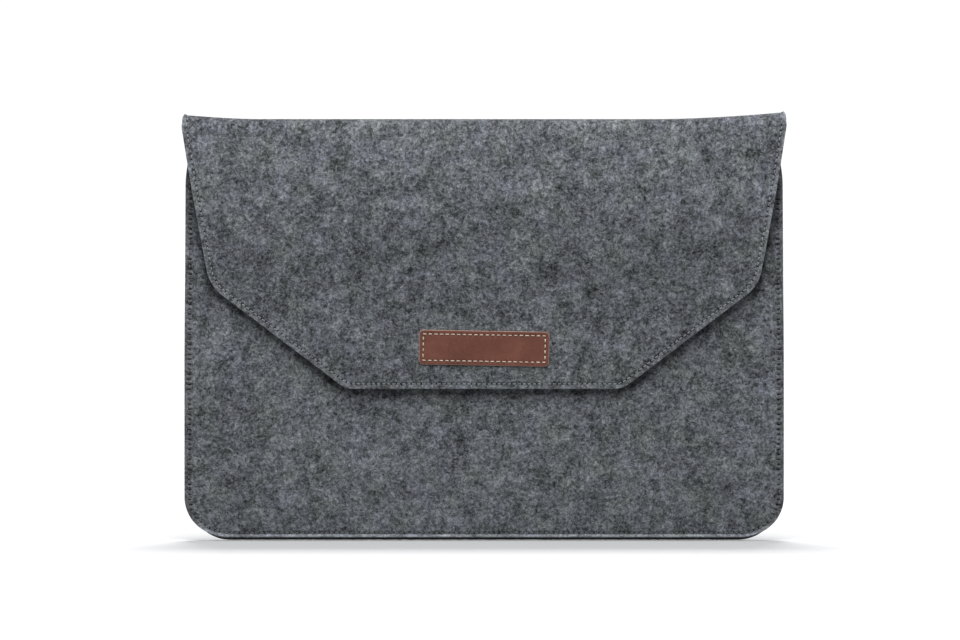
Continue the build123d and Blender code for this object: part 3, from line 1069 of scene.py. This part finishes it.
TAPE_THICK = 0.6 * MM
TAPE_RINGS = np.array([0.3, 1.0, 1.8, 2.6]) * MM
TAPE_STITCH_INSET = 1.4 * MM
PILE_STEP = 1.25 * MM
PILE_RISE = 0.75 * MM  # how high a loop or a hook stands above its root
PILE_ROOT = 0.55 * MM
PILE_THREAD = 0.11 * MM


def patch_pile(kind, name, material, half, tall, face, side, on_patch):
    """Rows of bent threads on a tape: whole loops turned at random, or hooks that bend one
    way and stop short."""
    us, ws = np.meshgrid(
        np.arange(-half + 2.6 * MM, half - 2.4 * MM, PILE_STEP),
        np.arange(-tall + 2.6 * MM, tall - 2.4 * MM, PILE_STEP),
    )
    us, ws = us.ravel(), ws.ravel()
    us = us + rng.normal(0, 0.16 * MM, us.shape)
    ws = ws + rng.normal(0, 0.16 * MM, ws.shape)
    if kind == "loop":
        reach, spread = math.pi, 0.5 * MM
        turn = rng.uniform(0, 2 * math.pi, us.shape)
    else:
        reach, spread = 0.72 * math.pi, 0.34 * MM
        turn = 0 * us
    t = np.linspace(0, reach, 7)
    u = us[:, None] + np.cos(turn)[:, None] * spread * np.cos(t)
    w = ws[:, None] + np.sin(turn)[:, None] * spread * np.cos(t)
    h = face + side * (PILE_ROOT + PILE_RISE * np.sin(t) + 0 * u)
    paths = on_patch(u, w, h)
    up = on_patch(us, ws, face + side * (0.1 * MM + 0 * us)) - on_patch(us, ws, face + 0 * us)
    binormal = unit(np.cross(paths[:, 2] - paths[:, 0], up))
    pile = tubes(name, material, paths, binormal, PILE_THREAD, 4)
    at = pile.data.attributes.new("cloth_at", "FLOAT_VECTOR", "POINT")
    co = np.array([v.co for v in pile.data.vertices], np.float32) / MM
    at.data.foreach_set("vector", co.ravel())
    return pile


def patch(kind, sign, box, place, face, side, material, body):
    """A tape, its pile and its sewing. face is the height of the cloth it lies on, and side is
    1 where it lies above that face."""
    where = "right" if sign > 0 else "left"
    half, tall = (box[1].x - box[0].x) / 2, (box[1].z - box[0].z) / 2
    outline = box_outline(half, tall, 1.5 * MM, 0.8 * MM, TAPE_STITCH_INSET)

    def on_patch(u, w, h):
        return place(sign * PATCH_X + u, w, h)

    low, high = sorted((face - side * 0.05 * MM, face + side * TAPE_THICK))
    tape = slab(
        f"{kind}_tape_{where}", material, outline, on_patch, low, high, TAPE_RINGS, 1.6 * MM,
        0.2 * MM,
    )
    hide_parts(f"{kind}_patch_{where}")
    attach(tape, body)
    pile = patch_pile(
        kind, f"{kind}_pile_{where}", material, half, tall, face, side, on_patch
    )
    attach(pile, body)
    sewing = stitch_row(
        f"{kind}_stitches_{where}", BLACK_THREAD, outline, on_patch, TAPE_STITCH_INSET,
        face + side * 0.58 * MM, side, 2.4 * MM, 1.8 * MM, 0.22 * MM,
    )
    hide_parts(f"{kind}_thread_{where}")
    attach(sewing, body)


def loop_place(x, w, h):
    return on_front(x, w + PATCH_Z, h)


def hook_place(x, w, h):
    return on_flap(x, flap_v(w + PATCH_Z), h)


for sign in (-1, 1):
    patch("loop", sign, LOOP_BOX, loop_place, FELT, 1, LOOP_TAPE, "pouch")
    patch("hook", sign, HOOK_BOX, hook_place, -LINING, -1, HOOK_TAPE, "flap")

# ---- stage, light and camera


WHITE = 1.05  # strength that renders as pure white
FLOOR_HALF = 3.5
FLOOR_SEEN, FLOOR_REFLECTED = (0.93, 0.93, 0.935), (0.42, 0.42, 0.42)
FLOOR_FADE = (0.4, 1.0)  # distance over which the floor fades to white


def floor_plane():
    """A pale floor. It reflects less than it shows, so that it doesn't light the sleeve from
    below as strongly as a white floor would, and it fades to white far away, where its edge
    would be seen."""
    mesh = bpy.data.meshes.new("floor")
    ends = (-FLOOR_HALF, FLOOR_HALF)
    mesh.from_pydata([(x, y, 0) for y in ends for x in ends], [], [(0, 1, 3, 2)])
    s = Shader("floor", 0.2, Roughness=0.8)
    path = s.nodes.new("ShaderNodeLightPath").outputs["Is Camera Ray"]
    s.set("Base Color", s.mix(path, FLOOR_REFLECTED, FLOOR_SEEN))
    away = s.nodes.new("ShaderNodeVectorMath")
    away.operation = "LENGTH"
    s.feed(away.inputs[0], s.nodes.new("ShaderNodeNewGeometry").outputs["Position"])
    white = s.nodes.new("ShaderNodeEmission")
    white.inputs["Strength"].default_value = WHITE
    fade = s.nodes.new("ShaderNodeMixShader")
    far = s.spread(away.outputs["Value"], *FLOOR_FADE)
    s.feed(fade.inputs["Fac"], s.sum("MULTIPLY", path, far))
    s.links.new(s.shader.outputs["BSDF"], fade.inputs[1])
    s.links.new(white.outputs[0], fade.inputs[2])
    s.links.new(fade.outputs[0], s.surface)
    mesh.materials.append(s.material)
    made = add_object("floor", mesh)
    made.location.z = -0.2 * MM
    return made


floor = floor_plane()


def softbox(name, place, target, size, power):
    """A rectangular lamp of a width and a height in metres, and a power in watts."""
    light = bpy.data.lights.new(name, "AREA")
    light.shape = "RECTANGLE"
    light.size, light.size_y = size
    light.energy = power
    made = add_object(name, light)
    made.location = place
    made.rotation_euler = (Vector(target) - Vector(place)).to_track_quat("-Z", "Y").to_euler()
    return made


MIDDLE = (0, 0, 0.12)  # of the sleeve
key = softbox("key", (-0.06, -1.25, 1.32), MIDDLE, (0.4, 1.3), 33.0)
back_key = softbox("back_key", (0.5, 1.8, 0.9), MIDDLE, (0.8, 0.8), 26.0)
softbox("overhead_front", (0, -1.2, 3.2), (0, -1.2, 0), (1.4, 2.4), 60.0)
overhead_back = softbox("overhead_back", (0, 2.1, 4.0), (0, 2.1, 0), (1.4, 1.6), 139.0)
for name, state, lights in (
    ("sleeve_only", "EXCLUDE", (key, back_key)),
    ("floor_only", "INCLUDE", (overhead_back,)),
):
    linked = bpy.data.collections.new(name)
    linked.objects.link(floor)
    for light in lights:
        light.light_linking.receiver_collection = linked
    linked.collection_objects[0].light_linking.link_state = state

world = bpy.data.worlds.new("studio")
bpy.context.scene.world = world
world.use_nodes = True
tree = world.node_tree
tree.nodes.clear()
path = tree.nodes.new("ShaderNodeLightPath")
mixer = tree.nodes.new("ShaderNodeMixShader")
out = tree.nodes.new("ShaderNodeOutputWorld")
tree.links.new(path.outputs["Is Camera Ray"], mixer.inputs["Fac"])
skies = (((0.97, 0.985, 1), 0.28), ((1, 1, 1), WHITE))  # what lights, and what is seen
for socket, (colour, strength) in zip((mixer.inputs[1], mixer.inputs[2]), skies):
    sky = tree.nodes.new("ShaderNodeBackground")
    sky.inputs["Color"].default_value = (*colour, 1)
    sky.inputs["Strength"].default_value = strength
    tree.links.new(sky.outputs[0], socket)
tree.links.new(mixer.outputs[0], out.inputs["Surface"])

CAMERA_AT = (-0.0024, -2.779, 0.1273)  # level with the sleeve's middle, and far off
lens = bpy.data.cameras.new("camera")
lens.lens, lens.sensor_width = 180, 36  # in millimetres
lens.clip_start = 0.05
camera = add_object("camera", lens)
camera.location = CAMERA_AT
camera.rotation_euler = (math.pi / 2, 0, 0)
bpy.context.scene.camera = camera
bpy.context.scene.view_settings.view_transform = "Standard"

bpy.context.view_layer.update()
